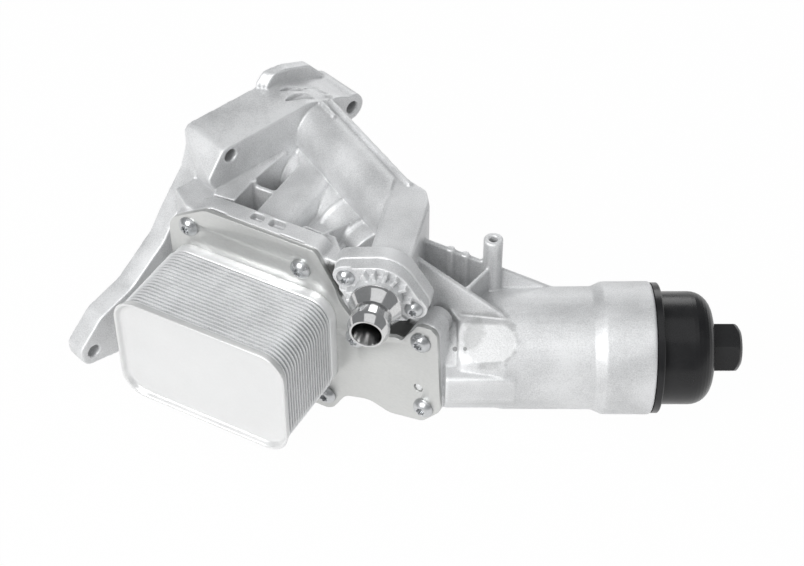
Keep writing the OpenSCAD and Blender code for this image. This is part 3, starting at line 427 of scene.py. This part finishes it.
stamped_edge = 0.45 * MM
flat_within, rim_over = 1, 60
stamped = welded_copy("cooler_base_plate")
bmesh.ops.dissolve_limit(stamped, angle_limit=radians(flat_within), verts=stamped.verts,
                         edges=stamped.edges)
rims = [edge for edge in stamped.edges if edge.calc_face_angle(0) > radians(rim_over)]
bmesh.ops.bevel(stamped, geom=rims, offset=stamped_edge, offset_type="OFFSET", segments=2,
                profile=0.5, affect="EDGES", material=-1, clamp_overlap=True)
base_plate = add_object("base_plate", shaded_mesh(stamped, "base_plate", sharp_at=50))
fit_piece(base_plate, "casting", "cooler_base_plate", plate_metal)


# Screws: zinc plated steel pan heads with a six lobed socket. The seven on the cooler are M6,
# the two that hold the nipple's flange are smaller.

screw_metal = finish_material("screw_metal", dark=(0.50, 0.51, 0.52), light=(0.64, 0.65, 0.66),
                              metal=0.9, rough=(0.24, 0.36), grain=1200, patch=90,
                              bump=(0.1, 0.0001))
seam_gap = 0.002 * MM


def spun_sheet(outline, steps):
    """Turns an outline of (radius, height) once round Z."""
    shape = bmesh.new()
    points = [shape.verts.new((radius, 0, height)) for radius, height in outline]
    lines = [shape.edges.new(pair) for pair in zip(points, points[1:])]
    bmesh.ops.spin(shape, geom=points + lines, cent=(0, 0, 0), axis=(0, 0, 1), angle=2 * pi,
                   steps=steps, use_merge=True)
    bmesh.ops.remove_doubles(shape, verts=shape.verts, dist=seam_gap)
    bmesh.ops.recalc_face_normals(shape, faces=shape.faces)
    return shape


def pan_head_screw(name, head_r, head_high, shank_r, shank_long, socket_r):
    """A screw along Z, its head above the seat at the origin."""
    chamfer_deep, socket_deep, lobe_share = 0.25 * MM, 2.4 * MM, 0.14
    crown = head_r * 0.42
    shank = [(0, -shank_long), (shank_r, -shank_long), (shank_r, 0)]
    side = [(head_r - 0.2 * MM, 0), (head_r, 0.15 * MM), (head_r, 0.9 * MM),
            (head_r * 0.97, 1.35 * MM)]
    dome = [(head_r * 0.9, head_high * 0.5), (head_r * 0.78, head_high * 0.7),
            (head_r * 0.62, head_high * 0.88), (crown + 0.4 * MM, head_high * 0.985),
            (crown, head_high)]
    shape = spun_sheet(shank + side + dome, steps=48)
    mouth = [edge for edge in shape.edges if edge.is_boundary]
    for drop, lobed in ((chamfer_deep, True), (socket_deep, False)):
        grown = bmesh.ops.extrude_edge_only(shape, edges=mouth)["geom"]
        ring = [part for part in grown if isinstance(part, bmesh.types.BMVert)]
        mouth = [part for part in grown
                 if isinstance(part, bmesh.types.BMEdge) and part.is_boundary]
        bmesh.ops.translate(shape, vec=(0, 0, -drop), verts=ring)
        if lobed:
            for point in ring:
                flat = Vector((point.co.x, point.co.y))
                turn = flat.angle_signed(Vector((1, 0)))
                lobe = 1 - lobe_share + lobe_share * cos(6 * turn)
                reach = socket_r * lobe / flat.length
                point.co.x *= reach
                point.co.y *= reach
    bmesh.ops.contextual_create(shape, geom=mouth)
    bmesh.ops.recalc_face_normals(shape, faces=shape.faces)
    return shaded_mesh(shape, name, sharp_at=45)


def set_of(name, mesh, places):
    """One piece from a copy of the mesh at each place."""
    joined = bmesh.new()
    for place in places:
        one = mesh.copy()
        one.transform(place)
        joined.from_mesh(one)
        bpy.data.meshes.remove(one)
    return add_object(name, make_mesh(joined, name))


to_front = turned_by(90, "X")
cooler_spots = ((-164.7, 51.5, 20), (-89, 51, 48), (-53.7, 12.5, 5), (-11.4, 28.7, 33),
                (-9.4, -23.6, 12), (-75, -45, 27), (-160, -45, 40))
cooler_screw = pan_head_screw("cooler_screw", head_r=6.3 * MM, head_high=4.2 * MM,
                              shank_r=3 * MM, shank_long=21 * MM, socket_r=2.75 * MM)
cooler_screws = set_of("pan_screws", cooler_screw,
                       [cooler_place @ Matrix.Translation((x * MM, 0, z * MM))
                        @ to_front @ turned_by(turn) for x, z, turn in cooler_spots])
fit_piece(cooler_screws, "casting", "cooler_screws", screw_metal)


# Coolant nipple: turned from bright steel with a conical shoulder and a bead, and held by a
# small cast flange whose hub is stiffened by gussets. Two screws hold the flange.

pad_place = (Matrix.Translation((0.111, -0.118, -0.018)) @ turned_by(-12)
             @ Matrix.Translation((0, 3 * MM, 0)))
nipple_metal = finish_material("nipple_metal", dark=(0.60, 0.60, 0.60), light=(0.70, 0.70, 0.70),
                               metal=1.0, rough=(0.10, 0.16), grain=1200, patch=60,
                               bump=(0.04, 0.00005))
bore = 8.2
spigot = [(bore, -10), (11.7, -10), (11.7, -1.6), (14.4, -1.6), (14.4, 0), (11, 0), (11, 16.2)]
shoulder = [(14.2, 16.2), (14.65, 16.35), (14.8, 16.8), (14.8, 18.6), (14.65, 19)]
waist = [(10.55, 24.2), (10.4, 24.6), (10.55, 25.2)]
bead = [(11.6, 33.3), (11.7, 33.7), (11.7, 35.3), (11.6, 35.7)]
lip = [(9.75, 39.3), (9.5, 39.8), (9.1, 40), (8.8, 40), (8.4, 39.8), (bore, 39.3)]
nipple_outline = spigot + shoulder + waist + bead + lip + spigot[:1]
turned = spun_sheet([(radius * MM, height * MM) for radius, height in nipple_outline],
                    steps=128)
turned.transform(pad_place @ to_front)
turned_nipple = add_object("turned_nipple", shaded_mesh(turned, "turned_nipple", sharp_at=35))
fit_piece(turned_nipple, "casting", "coolant_nipple", nipple_metal)

cast_metal = finish_material("cast_metal", **cast_finish)
cast_flange = baked_copy(make_mesh(welded_copy("nipple_flange"), "nipple_flange_shape"),
                         "cast_flange",
                         ("REMESH", {"mode": "VOXEL", "voxel_size": 0.35 * MM}),
                         ("SMOOTH", {"factor": 0.5, "iterations": 5}),
                         ("DECIMATE", {"ratio": 0.3}))
cast_flange.data.shade_smooth()
fit_piece(cast_flange, "casting", "nipple_flange", cast_metal)

flange_turn = 23.5
screw_spread, screw_seat = 20.8 * MM, -6.8 * MM
flange_screw = pan_head_screw("flange_screw", head_r=5.2 * MM, head_high=3.6 * MM,
                              shank_r=2.5 * MM, shank_long=13.6 * MM, socket_r=2.3 * MM)
flange_screws = set_of("flange_screws", flange_screw,
                       [pad_place @ turned_by(flange_turn, "Y")
                        @ Matrix.Translation((side * screw_spread, screw_seat, 0))
                        @ to_front @ turned_by(turn) for side, turn in ((-1, 15), (1, 38))])
fit_piece(flange_screws, "casting", "nipple_screws", screw_metal)


# Filter cap and its cage: black glass filled nylon with a satin face. The cap screws into
# the collar, and the cage clips into the cap.

def dress(node, material):
    for place in nodes[node].material_slots:
        place.material = material


cap_plastic = finish_material("cap_plastic", dark=(0.008, 0.008, 0.009),
                              light=(0.016, 0.016, 0.017), metal=0.0, rough=(0.24, 0.34),
                              grain=1800, patch=50, bump=(0.12, 0.0001), specular=0.35)
dress("filter_cap", cap_plastic)
dress("support_cage", cap_plastic)


# Seals: black moulded rubber with a faint bloom. They sit in grooves of the casting and
# round the nipple, the cap and the cage.

seal_rubber = finish_material("seal_rubber", dark=(0.018, 0.018, 0.018),
                              light=(0.035, 0.035, 0.034), metal=0.0, rough=(0.5, 0.7),
                              grain=1500, patch=80, bump=(0.2, 0.0001))
for seal in ("cooler_channel_seal", "cooler_port_seals", "nipple_seal", "cap_seal",
             "outlet_seal", "coolant_port_seal", "oil_port_seals"):
    dress(seal, seal_rubber)


# Filter element and valves: pleated resin paper between two moulded end caps. The valves'
# plunger, disc, seat and guide are moulded from the same dark grey plastic.

filter_paper = finish_material("filter_paper", dark=(0.55, 0.40, 0.17), light=(0.68, 0.53, 0.27),
                               metal=0.0, rough=(0.75, 0.9), grain=1600, patch=60,
                               bump=(0.3, 0.0001))
dress("filter_pleats", filter_paper)
end_plastic = finish_material("end_plastic", dark=(0.04, 0.042, 0.046),
                              light=(0.065, 0.067, 0.072), metal=0.0, rough=(0.4, 0.55),
                              grain=1500, patch=60, bump=(0.15, 0.0001))
for moulding in ("element_inner_cap", "element_outer_cap", "bypass_plunger",
                 "bypass_spring_seat", "check_valve_disc", "check_valve_guide"):
    dress(moulding, end_plastic)


# Valve springs: wound from bright steel wire. One closes the bypass in the cage, the other
# the check valve in the bowl's floor.

spring_wire = finish_material("spring_wire", dark=(0.45, 0.45, 0.46), light=(0.6, 0.6, 0.61),
                              metal=1.0, rough=(0.2, 0.3), grain=2000, patch=200,
                              bump=(0.05, 0.00005))
dress("bypass_spring", spring_wire)
dress("check_valve_spring", spring_wire)
